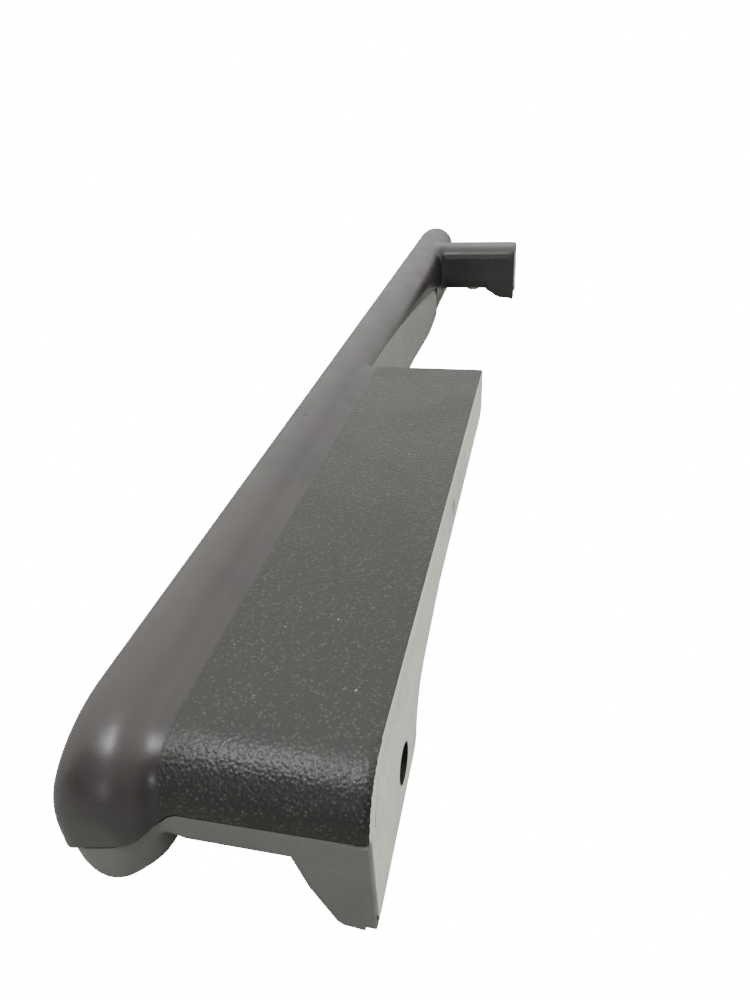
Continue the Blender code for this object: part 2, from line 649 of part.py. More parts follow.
def make_trigger(grey, nylon, steel):
    low = ARM_Z - ARM_HEIGHT / 2
    high = ARM_Z + ARM_HEIGHT / 2
    pivot = (PIVOT_X, PIVOT_Y, 0)
    trigger = loft("trigger", paddle_sections(), grey)
    arm = prism("trigger_arm", arm_outline(), "z", low, high)
    hub = rod("trigger_hub", HUB_RADIUS, "z", pivot, low, high, sides=24)
    join(trigger, arm, hub)
    cut(trigger, rod("trigger_bore", 2.7, "z", pivot, low - 5, high + 5))
    thread = rod("trigger_thread", 1.4, "y", (PLUNGER_X, 0, ARM_Z), TAIL_FRONT_Y - 5, TAIL_REAR_Y + 5)
    cut(trigger, thread)
    ring("trigger_bush", PIN_RADIUS + 0.2, 2.5, "z", pivot, low + 0.1, high - 0.1, nylon)
    rod("pivot_pin", PIN_RADIUS, "z", pivot, -6.6, BRACKET_TOP_Z, steel)
    screw_profile = [
        (1.2, TAIL_FRONT_Y - 3.6),
        (1.2, TAIL_REAR_Y + 0.4),
        (0.7, TAIL_REAR_Y + 1.1),
    ]
    turned("adjusting_screw", screw_profile, "y", (PLUNGER_X, 0, ARM_Z), steel)
    nut_centre = (PLUNGER_X, 0, ARM_Z)
    nut = rod("lock_nut", 2.4, "y", nut_centre, TAIL_FRONT_Y - 2.1, TAIL_FRONT_Y - GAP, steel, sides=6)
    nut_hole = rod("lock_nut_hole", 1.4, "y", nut_centre, TAIL_FRONT_Y - 9, TAIL_FRONT_Y)
    cut(nut, nut_hole)
    move_origin_to_pivot("trigger", "trigger_bush", "adjusting_screw", "lock_nut")


def move_origin_to_pivot(*names):
    """Give the trigger's pieces an origin on the pivot axis."""
    pivot = Vector((PIVOT_X, PIVOT_Y, ARM_Z)) * MM
    for name in names:
        thing = bpy.data.objects[name]
        thing.data.transform(Matrix.Translation(-pivot))
        thing.location = pivot


def make_bracket(steel):
    """Flat steel strap that holds the top of the pivot pin, with two countersunk screws."""
    outline = [(-53.5, -27.5), (-44.5, -27.5), (-44.5, -13.0), (-34.8, -11.7), (-34.8, -5.5), (-53.5, -5.5)]
    bracket = prism("pivot_bracket", outline, "z", BRACKET_BOTTOM_Z, BRACKET_TOP_Z, steel)
    pin_hole = rod("bracket_pin_hole", PIN_RADIUS + 0.2, "z", (PIVOT_X, PIVOT_Y, 0), -5.0, 5.0)
    cut(bracket, pin_hole)
    top = BRACKET_TOP_Z
    for i, (x, y) in enumerate(BRACKET_SCREWS):
        sink = [(1.35, -1.0), (1.35, top - 0.9), (2.5, top + 0.25), (2.5, top + 2.0)]
        cut(bracket, turned(f"bracket_sink_{i + 1}", sink, "z", (x, y, 0)))
        screw = [(0.6, -2.4), (1.05, -1.9), (1.05, top - 1.0), (2.0, top - 0.1), (2.0, top)]
        turned(f"bracket_screw_{i + 1}", screw, "z", (x, y, 0), steel)


def make_buffers(rubber):
    low = ARM_Z - ARM_HEIGHT / 2
    box("rest_buffer", (-36.0, BAR_REAR_Y + GAP, low), (-30.0, TAIL_FRONT_Y - GAP, ARM_Z + 1.9), rubber)
    wall = BAR_FRONT_Y + WALL + GAP
    box("squeeze_buffer", (-108.0, wall, -6.0), (-102.0, -31.9, 1.0), rubber)


# ---------------------------------------------------------------- plunger


def make_plunger(nylon, steel, spring_steel):
    centre = (PLUNGER_X, 0, ARM_Z)
    guide_low = (GUIDE_FAR_X, GUIDE_FRONT_Y, BLOCK_BOTTOM_Z)
    guide = box("plunger_guide", guide_low, (GUIDE_NEAR_X, 0.0, GUIDE_TOP_Z), nylon)
    bore = [(2.05, -20.0), (2.05, -4.5), (1.55, -4.5), (1.55, 5.0)]
    cut(guide, turned("guide_bore", bore, "y", centre))
    profile = [
        (1.85, PLUNGER_HEAD_Y),
        (1.85, PLUNGER_HEAD_Y + 1.5),
        (1.2, PLUNGER_HEAD_Y + 1.5),
        (1.2, PLUNGER_TIP_Y - 0.4),
        (0.8, PLUNGER_TIP_Y),
    ]
    plunger = turned("plunger", profile, "y", centre, steel)
    start = Vector((PLUNGER_X, PLUNGER_HEAD_Y, ARM_Z)) * MM
    plunger.data.transform(Matrix.Translation(-start))
    plunger.location = start
    spring_low = PLUNGER_HEAD_Y + 1.5 + GAP
    coil("plunger_spring", 1.63, 0.2, 8, (PLUNGER_X, ARM_Z), spring_low, -4.5 - GAP, spring_steel)
    return_x = -29.0
    coil(
        "return_spring", 1.6, 0.3, 8, (return_x, ARM_Z),
        TAIL_REAR_Y + GAP, FLANGE_FRONT_Y - GAP, spring_steel,
    )


def make_cover_screws(zinc):
    for i, (x, y, head, tip) in enumerate(SCREWS):
        top = head + SCREW_HEAD_HEIGHT
        profile = [
            (1.0, head + 0.9),
            (1.2, head + 0.05),
            (SCREW_HEAD_RADIUS - 0.5, head),
            (SCREW_HEAD_RADIUS, head + 0.5),
            (SCREW_HEAD_RADIUS, top),
            (SCREW_RADIUS, top),
            (SCREW_RADIUS, tip - 1.2),
            (0.4, tip),
        ]
        turned(f"cover_screw_{i + 1}", profile, "z", (x, y, 0), zinc)


def build():
    clear_scene()
    black = plain_material("black_plastic", (0.035, 0.035, 0.036), 0.45)
    grey = plain_material("grey_plastic", (0.19, 0.21, 0.19), 0.5)
    foam = plain_material("pale_foam", (0.6, 0.58, 0.5), 0.85)
    nylon = plain_material("white_nylon", (0.8, 0.8, 0.76), 0.45)
    rubber = plain_material("rubber", (0.02, 0.02, 0.02), 0.8)
    steel = plain_material("steel", (0.55, 0.55, 0.57), 0.3, 1.0)
    spring_steel = plain_material("spring_steel", (0.35, 0.35, 0.37), 0.35, 1.0)
    zinc = plain_material("yellow_zinc", (0.62, 0.52, 0.22), 0.35, 1.0)
    brass = plain_material("brass", (0.72, 0.52, 0.22), 0.3, 1.0)
    make_outer_cover(black)
    make_carrier(grey)
    make_pads(foam)
    make_inserts(brass)
    make_trigger(grey, nylon, steel)
    make_bracket(steel)
    make_buffers(rubber)
    make_plunger(nylon, steel, spring_steel)
    make_cover_screws(zinc)


build()
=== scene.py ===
"""Looks of the car door handle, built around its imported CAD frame.

The frame is the CAD's: +X along the bar to the end with the lug, +Y into the door, +Z up.
Shapes are worked out in millimetres and written in metres.
"""

import math

import bmesh
import bpy
import numpy as np
from mathutils import Matrix, Vector


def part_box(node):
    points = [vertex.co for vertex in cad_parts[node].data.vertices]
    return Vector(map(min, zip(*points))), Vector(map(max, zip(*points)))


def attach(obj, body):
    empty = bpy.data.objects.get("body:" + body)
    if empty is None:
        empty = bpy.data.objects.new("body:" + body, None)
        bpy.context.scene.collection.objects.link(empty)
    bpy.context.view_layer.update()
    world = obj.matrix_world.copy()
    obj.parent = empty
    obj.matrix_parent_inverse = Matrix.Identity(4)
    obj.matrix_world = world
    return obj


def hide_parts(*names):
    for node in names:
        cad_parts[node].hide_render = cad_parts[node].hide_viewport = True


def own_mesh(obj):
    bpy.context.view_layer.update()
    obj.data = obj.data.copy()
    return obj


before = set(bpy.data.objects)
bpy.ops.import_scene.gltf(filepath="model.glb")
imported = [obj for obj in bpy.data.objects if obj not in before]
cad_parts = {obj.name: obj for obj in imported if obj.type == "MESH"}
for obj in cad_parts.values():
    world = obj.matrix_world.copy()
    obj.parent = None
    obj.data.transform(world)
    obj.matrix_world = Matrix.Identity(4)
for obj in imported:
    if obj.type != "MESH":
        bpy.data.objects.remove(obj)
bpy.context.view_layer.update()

MM = 0.001
GAP = 0.3  # air between two pieces
WALL = 2.5
FAR_AWAY = 60.0  # past every face of the handle


def in_mm(node):
    return [Vector(corner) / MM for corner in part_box(node)]


COVER_LOW, COVER_HIGH = in_mm("outer_cover")
CARRIER_LOW, _ = in_mm("carrier")
POST_PAD_LOW, POST_PAD_HIGH = in_mm("post_pad")
TRIGGER_LOW, TRIGGER_HIGH = in_mm("trigger")
LUG_HOLE_LOW, LUG_HOLE_HIGH = in_mm("lug_insert")

# Bar. A nose is its radius in plan, then the length and drop of its rounded top and of its foot.
BAR_NEAR_X = COVER_HIGH.x
BAR_FAR_X = COVER_LOW.x
BAR_FRONT_Y = COVER_LOW.y
BAR_TOP_Z = COVER_HIGH.z
BAR_REAR_Y = -25.0
BAR_BOTTOM_Z = -15.5
BAR_CORNER = 5.8
BAR_AXIS_Y = (BAR_FRONT_Y + BAR_REAR_Y) / 2
NEAR_NOSE = (3.2, 14.1, 10.2, 13.0, 3.3)
FAR_NOSE = (6.2, 5.0, 5.0, 5.0, 3.5)
CARRIER_NEAR_NOSE = (5.3, 14.1, 10.2, 13.0, 3.3)
CARRIER_CORNER = 5.0

# Block
BLOCK_NEAR_X = 57.5
BLOCK_FAR_X = -57.0
BLOCK_TOP_Z = 5.0
BLOCK_BOTTOM_Z = -4.75
BLOCK_NEAR_BOTTOM_Z = -6.5
BLOCK_NEAR_RADIUS = 8.5
BLOCK_FAR_RADIUS = 5.0
FLOOR_TOP_Z = -3.55

# Post, with the outline (y, z) of the foot that hangs below it
POST_X = (POST_PAD_LOW.x + POST_PAD_HIGH.x) / 2
POST_HALF = 6.5
POST_TOP_Z = 6.5
POST_BOTTOM_Z = -8.0
POST_CORNER = 4.0
FOOT_OUTLINE = (
    (-9.6, -4.0), (-9.6, -7.8), (-8.4, -8.3), (-5.9, -10.1), (-4.4, -10.6),
    (-2.2, -10.5), (-0.8, -11.1), (-0.2, -11.2), (0.0, -10.9), (0.0, -4.0),
)

# Seam between cover and carrier: y and z from the front of the bar to the seat
SEAM = (
    (-37.0, -8.7), (-33.7, -7.3), (-28.3, -5.8), (-26.6, -5.3),
    (-25.6, -4.7), (-24.4, -3.7), (-23.5, -2.9), (-22.4, -2.4), (0.0, -2.2),
)
SEAM_CHANGE_X = -153.0
SEAM_FAR_Z = -9.0

# Seat and lug
CARRIER_SEAT_Y = -1.5
FLANGE_FRONT_Y = -3.2
LUG_NEAR_X = 57.5
LUG_FAR_X = 31.0
LUG_BOTTOM_Z = CARRIER_LOW.z
LUG_FAR_BOTTOM_Z = -16.6
LUG_RIB = 2.5
LUG_CORNER = 1.2
LUG_FAR_CORNER = 2.5
LUG_BOSS_RADIUS = 4.8
INSERT_HOLE = 3.3
POST_HOLE_Z = -1.0
LUG_HOLE_X = (LUG_HOLE_LOW.x + LUG_HOLE_HIGH.x) / 2
LUG_HOLE_Z = (LUG_HOLE_LOW.z + LUG_HOLE_HIGH.z) / 2

# Trigger
PIVOT_X = -49.0
PIVOT_Y = -24.0
PADDLE_NEAR_X = -58.2
PADDLE_FAR_X = TRIGGER_LOW.x
PADDLE_TOP_Z = TRIGGER_HIGH.z
PADDLE_TOP_DROP = 8.1
PADDLE_RIDGE_Z = -8.3
PADDLE_BOTTOM_Z = TRIGGER_LOW.z
PADDLE_FRONT_Y = -27.4
PADDLE_SWELL = 0.9
PADDLE_SWELL_X = -131.0
PADDLE_SWELL_REACH = 30.0
SLOT_GAP = 0.45
ARM_Z = -1.2
ARM_HEIGHT = 3.8
TAIL_FRONT_Y = -19.0
TAIL_REAR_Y = -15.0
HUB_RADIUS = 4.2
PIVOT_BORE = 2.7
THREAD_RADIUS = 1.4
PLUNGER_X = -8.0

# Screws that hold the two mouldings together: x, y and the underside of the head
SCREW_HEADS = (
    (47.0, BAR_AXIS_Y, -13.6),
    (0.0, BAR_AXIS_Y, -13.6),
    (-156.5, BAR_AXIS_Y, -13.6),
    (POST_X, -14.5, -8.9),
    (40.0, -14.0, -6.3),
)
SCREW_BORE = 2.9
SCREW_SHANK = 1.6
PAD_EDGE = 1.0  # how far the pad stays back from the edges of the lug

VOXEL = 0.5


# ---------------------------------------------------------------- mesh helpers


def add_object(name, shape):
    """Turn a bmesh in millimetres into an object in metres."""
    bmesh.ops.scale(shape, vec=(MM, MM, MM), verts=shape.verts)
    bmesh.ops.recalc_face_normals(shape, faces=shape.faces)
    mesh = bpy.data.meshes.new(name)
    shape.to_mesh(mesh)
    shape.free()
    thing = bpy.data.objects.new(name, mesh)
    bpy.context.scene.collection.objects.link(thing)
    return thing


def prism(name, outline, axis, low, high):
    """Extrude an outline along an axis: x takes (y, z) points, y takes (x, z), z takes (x, y)."""
    index = "xyz".index(axis)
    shape = bmesh.new()
    corners = []
    for a, b in outline:
        point = [a, b]
        point.insert(index, low)
        corners.append(shape.verts.new(point))
    grown = bmesh.ops.extrude_face_region(shape, geom=[shape.faces.new(corners)])
    moved = [item for item in grown["geom"] if isinstance(item, bmesh.types.BMVert)]
    step = [0.0, 0.0, 0.0]
    step[index] = high - low
    bmesh.ops.translate(shape, vec=step, verts=moved)
    return add_object(name, shape)


def box(name, low, high):
    outline = [(low[0], low[1]), (high[0], low[1]), (high[0], high[1]), (low[0], high[1])]
    return prism(name, outline, "z", low[2], high[2])


def rod(name, radius, axis, centre, low, high, sides=48):
    across = [c for i, c in enumerate(centre) if i != "xyz".index(axis)]
    outline = []
    for i in range(sides):
        angle = math.tau * i / sides
        outline.append((across[0] + radius * math.cos(angle), across[1] + radius * math.sin(angle)))
    return prism(name, outline, axis, low, high)


def loft(name, sections):
    """One closed solid through (x, outline) sections that all have the same number of points."""
    shape = bmesh.new()
    rings = [[shape.verts.new((x, y, z)) for y, z in section] for x, section in sections]
    for first, second in zip(rings, rings[1:]):
        for i in range(len(first)):
            j = (i + 1) % len(first)
            shape.faces.new((first[i], first[j], second[j], second[i]))
    shape.faces.new(rings[0])
    shape.faces.new(rings[-1])
    return add_object(name, shape)


def settle(thing):
    """Make an object's modifiers part of its mesh."""
    bpy.context.view_layer.update()
    graph = bpy.context.evaluated_depsgraph_get()
    mesh = bpy.data.meshes.new_from_object(thing.evaluated_get(graph))
    thing.modifiers.clear()
    thing.data = mesh


def combine(target, operation, tools):
    for tool in tools:
        modifier = target.modifiers.new("combine", "BOOLEAN")
        modifier.operation = operation
        modifier.solver = "MANIFOLD"
        modifier.object = tool
    settle(target)
    for tool in tools:
        bpy.data.objects.remove(tool)


def cut(target, *tools):
    combine(target, "DIFFERENCE", tools)


def join(target, *tools):
    combine(target, "UNION", tools)


def arc(centre, radius, start, end, steps):
    points = []
    for i in range(steps + 1):
        angle = math.radians(start + (end - start) * i / steps)
        points.append((centre[0] + radius * math.cos(angle), centre[1] + radius * math.sin(angle)))
    return points


def rounded_box(low, high, radius, steps):
    a = arc((high[0] - radius, high[1] - radius), radius, 0, 90, steps)
    b = arc((low[0] + radius, high[1] - radius), radius, 90, 180, steps)
    c = arc((low[0] + radius, low[1] + radius), radius, 180, 270, steps)
    d = arc((high[0] - radius, low[1] + radius), radius, 270, 360, steps)
    return a + b + c + d


def voxel_skin(thing, size):
    modifier = thing.modifiers.new("skin", "REMESH")
    modifier.mode = "VOXEL"
    modifier.voxel_size = size * MM
    settle(thing)


def soften(thing, passes, share_at):
    """Smooth a dense mesh; share_at gives each point's share, 0 to 1, from its place in millimetres."""
    mesh = thing.data
    count = len(mesh.vertices)
    places = np.empty(count * 3)
    mesh.vertices.foreach_get("co", places)
    places = places.reshape(-1, 3)
    ends = np.empty(len(mesh.edges) * 2, np.int64)
    mesh.edges.foreach_get("vertices", ends)
    ends = ends.reshape(-1, 2)
    one = np.concatenate([ends[:, 0], ends[:, 1]])
    other = np.concatenate([ends[:, 1], ends[:, 0]])
    links = np.bincount(one, minlength=count)[:, None]
    share = share_at(places / MM)[:, None]
    for _ in range(passes):
        total = np.stack([np.bincount(one, places[other, k], count) for k in range(3)], 1)
        places = places + 0.5 * share * (total / links - places)
    mesh.vertices.foreach_set("co", places.ravel())
    mesh.update()


def ramp(value, start, end):
    return np.clip((value - start) / (end - start), 0.0, 1.0)


def even_share(places):
    return np.ones(len(places))


def finish_piece(thing, body, slot, *nodes, angle=35):
    """Shade a piece smooth up to an angle and say what it rides on and stands for."""
    thing.data.shade_smooth()
    thing.data.set_sharp_from_angle(angle=math.radians(angle))
    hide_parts(*nodes)
    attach(thing, body)


def paint_all(thing, material):
    thing.data.materials.clear()
    thing.data.materials.append(material)


# ---------------------------------------------------------------- outer forms


def round_off(distance, length):
    if distance >= length:
        return 0.0
    return 1.0 - math.sqrt(1.0 - (1.0 - distance / length) ** 2)


def bar_section(distance, inset, nose, corner):
    half = (BAR_REAR_Y - BAR_FRONT_Y) / 2 - inset
    plan_radius, top_length, top_drop, foot_length, foot_drop = (size - inset for size in nose)
    half_here = half - plan_radius * round_off(distance, plan_radius)
    top = BAR_TOP_Z - inset - top_drop * round_off(distance, top_length)
    bottom = BAR_BOTTOM_Z + inset + foot_drop * round_off(distance, foot_length)
    radius = min(corner - inset, 0.98 * half_here)
    return rounded_box((BAR_AXIS_Y - half_here, bottom), (BAR_AXIS_Y + half_here, top), radius, 10)


def nose_steps(nose, inset):
    """Distances from a tip for its sections: close ones for the plan radius, then the long top."""
    plan_radius, top_length = nose[0] - inset, nose[1] - inset
    plan = [plan_radius * (1.0 - math.cos(math.radians(angle))) for angle in range(4, 91, 8)]
    top = [top_length * (1.0 - math.cos(math.radians(angle))) for angle in range(10, 91, 5)]
    return plan + [distance for distance in top if distance > plan_radius + 0.2]


def bar_form(name, inset, near_nose=NEAR_NOSE, corner=BAR_CORNER):
    sections = []
    for distance in nose_steps(near_nose, inset):
        sections.append((BAR_NEAR_X - inset - distance, bar_section(distance, inset, near_nose, corner)))
    for distance in reversed(nose_steps(FAR_NOSE, inset)):
        sections.append((BAR_FAR_X + inset + distance, bar_section(distance, inset, FAR_NOSE, corner)))
    return loft(name, sections)


def block_outline(inset=0.0, bottom=None):
    """Side view of the block: flat top, long round near end, round lower corner at the far end."""
    near = BLOCK_NEAR_X - inset
    far = BLOCK_FAR_X + inset
    near_centre = (BLOCK_NEAR_X - BLOCK_NEAR_RADIUS, BLOCK_TOP_Z - BLOCK_NEAR_RADIUS)
    points = [(far, BLOCK_TOP_Z - inset)]
    points += list(reversed(arc(near_centre, BLOCK_NEAR_RADIUS - inset, 0, 90, 24)))
    if bottom is not None:
        return points + [(near, bottom), (far, bottom)]
    far_centre = (BLOCK_FAR_X + BLOCK_FAR_RADIUS, BLOCK_BOTTOM_Z + BLOCK_FAR_RADIUS)
    points += [(near, BLOCK_NEAR_BOTTOM_Z), (30.0, BLOCK_NEAR_BOTTOM_Z), (8.0, BLOCK_BOTTOM_Z)]
    points += list(reversed(arc(far_centre, BLOCK_FAR_RADIUS, 180, 270, 12)))
    return points


def crease_share(places):
    """Where the bar meets the block and the post, the moulding has a soft hollow."""
    x, y, _ = places.T
    crease_shade = 1.0 - ramp(np.abs(y - BAR_REAR_Y + 0.6), 1.6, 3.4)
    beside_block = ramp(x, BLOCK_FAR_X - 0.5, BLOCK_FAR_X + 2.0)
    beside_post = 1.0 - ramp(np.abs(x - POST_X), POST_HALF + 1.5, POST_HALF + 4.0)
    return crease_shade * np.maximum(beside_block, beside_post)


def half_space(drop, side):
    """Everything below the seam (side -1) or above it (side +1), lowered by a drop."""
    reach = side * FAR_AWAY
    line = [(-FAR_AWAY, SEAM[0][1] - drop)]
    line += [(y, z - drop) for y, z in SEAM]
    line += [(FAR_AWAY, SEAM[-1][1] - drop), (FAR_AWAY, reach), (-FAR_AWAY, reach)]
    level = [
        (-FAR_AWAY, SEAM_FAR_Z - drop),
        (FAR_AWAY, SEAM_FAR_Z - drop),
        (FAR_AWAY, reach),
        (-FAR_AWAY, reach),
    ]
    main = prism("seam", line, "x", SEAM_CHANGE_X, BAR_NEAR_X + 10)
    return main, prism("seam_far", level, "x", BAR_FAR_X - 10, SEAM_CHANGE_X + 0.01)


def below_bar_seam():
    """As half_space, but it spares the post, which is all cover."""
    main, level = half_space(0.0, -1)
    reach = POST_HALF + 1.0
    spared = box("spared", (POST_X - reach, BAR_REAR_Y - 0.2, -FAR_AWAY), (POST_X + reach, 20.0, 0.0))
    cut(level, spared)
    return main, level


def arm_passage(bottom):
    low = (BLOCK_FAR_X - 1.0, BAR_REAR_Y - WALL - 1.0, bottom)
    return box("passage", low, (-38.0, BAR_REAR_Y + 0.1, BLOCK_TOP_Z - WALL))


def paddle_top(x):
    share = (PADDLE_NEAR_X - x) / (PADDLE_NEAR_X - PADDLE_FAR_X)
    return PADDLE_TOP_Z - PADDLE_TOP_DROP * share * share


def trigger_slot(front):
    far = PADDLE_FAR_X - 1.5
    bottom = PADDLE_BOTTOM_Z - SLOT_GAP
    steps = 40
    outline = [(far, bottom)]
    for i in range(steps + 1):
        x = far + (BLOCK_FAR_X - 0.4 - far) * i / steps
        outline.append((x, paddle_top(x) + SLOT_GAP))
    outline.append((BLOCK_FAR_X - 0.4, bottom))
    return prism("slot", outline, "y", front, BAR_REAR_Y + 5.0)


# ---------------------------------------------------------------- the cover


def make_cover():
    cover = bar_form("cover_skin", 0.0)
    block = prism("block", block_outline(), "y", BAR_REAR_Y - 3.0, 0.0)
    low = (POST_X - POST_HALF, POST_BOTTOM_Z)
    high = (POST_X + POST_HALF, POST_TOP_Z)
    post = prism("post", rounded_box(low, high, POST_CORNER, 10), "y", BAR_REAR_Y - 2.0, 0.0)
    foot = prism("foot", FOOT_OUTLINE, "x", POST_X - POST_HALF + 0.2, POST_X + POST_HALF - 0.2)
    join(cover, block, post, foot)
    voxel_skin(cover, VOXEL)
    soften(cover, 26, crease_share)
    soften(cover, 3, even_share)
    cut(cover, *below_bar_seam())
    inner = POST_HALF - WALL
    post_room = box("post_room", (POST_X - inner, -28.0, -30.0), (POST_X + inner, 5.0, POST_TOP_Z - WALL))
    block_room = prism("block_room", block_outline(WALL, -20.0), "y", BAR_REAR_Y, 5.0)
    cut(cover, bar_form("bar_room", WALL), block_room, post_room)
    cut(cover, trigger_slot(BAR_AXIS_Y), arm_passage(-20.0))
    finish_piece(cover, "handle", "black_plastic", "outer_cover")
    return cover


# ---------------------------------------------------------------- the carrier


def flange_outline():
    """Side view of the seat flange: the block's inside above the seam, the lug below it."""
    inset = WALL + GAP
    near_centre = (BLOCK_NEAR_X - BLOCK_NEAR_RADIUS, BLOCK_TOP_Z - BLOCK_NEAR_RADIUS)
    far_centre = (BLOCK_FAR_X + BLOCK_FAR_RADIUS, BLOCK_BOTTOM_Z + BLOCK_FAR_RADIUS)
    seam = SEAM[-1][1] - 0.5
    points = [(BLOCK_FAR_X + inset, BLOCK_TOP_Z - inset)]
    points += list(reversed(arc(near_centre, BLOCK_NEAR_RADIUS - inset, 8, 90, 12)))
    points += [(BLOCK_NEAR_X - inset, seam), (LUG_NEAR_X, seam)]
    near_corner = (LUG_NEAR_X - LUG_CORNER, LUG_BOTTOM_Z + LUG_CORNER)
    points += list(reversed(arc(near_corner, LUG_CORNER, 270, 360, 8)))
    far_corner = (LUG_FAR_X + LUG_FAR_CORNER, LUG_FAR_BOTTOM_Z + LUG_FAR_CORNER)
    points += list(reversed(arc(far_corner, LUG_FAR_CORNER, 180, 270, 8)))
    points += [(30.0, -11.0), (28.6, -9.4), (27.5, -8.5), (24.0, -7.2), (18.0, -6.1), (12.0, -5.3)]
    points += [(8.0, BLOCK_BOTTOM_Z)]
    points += list(reversed(arc(far_centre, BLOCK_FAR_RADIUS, 212, 270, 10)))
    return points + [(BLOCK_FAR_X + inset, seam)]


def rim_outline():
    """The thin rim that hides the pad's edge along the lug's near end and underside."""
    width = PAD_EDGE - GAP
    end = LUG_FAR_X + LUG_FAR_CORNER
    top = SEAM[-1][1] - 0.5
    x, z = LUG_NEAR_X - LUG_CORNER, LUG_BOTTOM_Z + LUG_CORNER
    outer = arc((x, z), LUG_CORNER, 270, 360, 8)
    inner = arc((x - width, z + width), LUG_CORNER, 270, 360, 8)
    points = [(LUG_NEAR_X, top)] + list(reversed(outer))
    points += [(end, LUG_FAR_BOTTOM_Z), (end, LUG_FAR_BOTTOM_Z + width)]
    return points + inner + [(LUG_NEAR_X - width, top)]


def lug_rib(x, bottom):
    outline = [
        (-9.4, -5.6), (-7.6, -11.5), (-4.8, bottom + 1.1), (-4.0, bottom + 0.5),
        (CARRIER_SEAT_Y, bottom + 0.2), (CARRIER_SEAT_Y, -5.6),
    ]
    return prism("lug_rib", outline, "x", x, x + LUG_RIB)


def post_arm():
    """The arm of the carrier that lies inside the post."""
    half = POST_HALF - WALL - GAP
    bottom = POST_BOTTOM_Z + 0.4
    top = POST_TOP_Z - WALL - GAP
    root = box("arm_root", (POST_X - half, -34.0, -12.5), (POST_X + half, -27.0, -3.0))
    arm = box("arm", (POST_X - half, -28.0, bottom), (POST_X + half, -8.0, -3.0))
    end = box("arm_end", (POST_X - half, -10.0, bottom), (POST_X + half, CARRIER_SEAT_Y, top))
    return root, arm, end


def make_carrier():
    """Lower moulding: the grey floor of the bar and block, the seat flange and the lug."""
    carrier = bar_form("carrier_skin", 0.0, CARRIER_NEAR_NOSE, CARRIER_CORNER)
    join(carrier, prism("block", block_outline(), "y", BAR_REAR_Y - 3.0, CARRIER_SEAT_Y))
    voxel_skin(carrier, VOXEL)
    soften(carrier, 26, crease_share)
    soften(carrier, 3, even_share)
    cut(carrier, *half_space(GAP, 1))
    low = (BLOCK_FAR_X + WALL, BAR_REAR_Y, FLOOR_TOP_Z)
    high = (BLOCK_NEAR_X - WALL, FLANGE_FRONT_Y, 20.0)
    cut(carrier, bar_form("bar_room", WALL, CARRIER_NEAR_NOSE, CARRIER_CORNER), box("block_room", low, high))
    cut(carrier, trigger_slot(BAR_FRONT_Y + WALL), arm_passage(FLOOR_TOP_Z))
    flange = prism("flange", flange_outline(), "y", FLANGE_FRONT_Y - 0.1, CARRIER_SEAT_Y)
    rim = prism("rim", rim_outline(), "y", CARRIER_SEAT_Y - 0.5, -0.2)
    boss = rod("boss", LUG_BOSS_RADIUS, "y", (LUG_HOLE_X, 0, LUG_HOLE_Z), -9.6, -2.0)
    join(carrier, flange, rim, boss, *post_arm())
    join(carrier, lug_rib(LUG_NEAR_X - LUG_RIB, LUG_BOTTOM_Z), lug_rib(LUG_FAR_X, LUG_FAR_BOTTOM_Z))
    for x, y, head in SCREW_HEADS:
        if y == BAR_AXIS_Y:
            join(carrier, rod("stand", SCREW_BORE + 1.2, "z", (x, y, 0), -13.0, -8.3))
        cut(carrier, rod("bore", SCREW_BORE, "z", (x, y, 0), head - 3.0, head + 1.8))
        cut(carrier, rod("shank", SCREW_SHANK, "z", (x, y, 0), head, head + 14.0))
    for x, z in ((LUG_HOLE_X, LUG_HOLE_Z), (POST_X, POST_HOLE_Z)):
        cut(carrier, rod("hole", INSERT_HOLE, "y", (x, 0, z), -8.6, 5.0))
    guide_low, guide_high = in_mm("plunger_guide")
    margin = Vector((GAP, GAP, 5.0))
    cut(carrier, box("guide_room", guide_low - margin, guide_high + margin))
    finish_piece(carrier, "handle", "grey_plastic", "carrier")
    return carrier


# ---------------------------------------------------------------- the trigger


def paddle_section(x):
    """Section of the paddle: flush with the bar at the top, a soft ridge, and a proud lower edge."""
    away = abs(x - PADDLE_SWELL_X) / PADDLE_SWELL_REACH
    swell = PADDLE_SWELL * math.cos(math.pi * min(away, 1.0) / 2) ** 2
    top = paddle_top(x)
    edge = max(0.0, top - BAR_TOP_Z + BAR_CORNER)
    flush = BAR_REAR_Y - BAR_CORNER + math.sqrt(BAR_CORNER**2 - edge**2)
    rear = BAR_REAR_Y + swell
    middle = 0.6 * top + 0.4 * PADDLE_RIDGE_Z
    return [
        (PADDLE_FRONT_Y, PADDLE_BOTTOM_Z + 0.5),
        (PADDLE_FRONT_Y + 0.8, PADDLE_BOTTOM_Z),
        (rear - 0.9, PADDLE_BOTTOM_Z),
        (rear - 0.1, PADDLE_BOTTOM_Z + 0.7),
        (rear, PADDLE_RIDGE_Z - 1.0),
        (rear - 0.05, PADDLE_RIDGE_Z),
        (0.5 * (rear + flush), middle),
        (flush - 0.2, top - 0.8),
        (flush - 0.6, top),
        (PADDLE_FRONT_Y, top),
    ]


def smooth_loop(points, steps):
    """A closed Catmull-Rom curve through points, with some steps between each pair."""
    count = len(points)
    loop = []
    for i in range(count):
        before, here, after, later = (points[(i + k) % count] for k in (-1, 0, 1, 2))
        for step in range(steps):
            t = step / steps
            loop.append(tuple(
                0.5 * (
                    2 * h + (a - b) * t
                    + (2 * b - 5 * h + 4 * a - c) * t * t
                    + (3 * h - b - 3 * a + c) * t**3
                )
                for b, h, a, c in zip(before, here, after, later)
            ))
    return loop


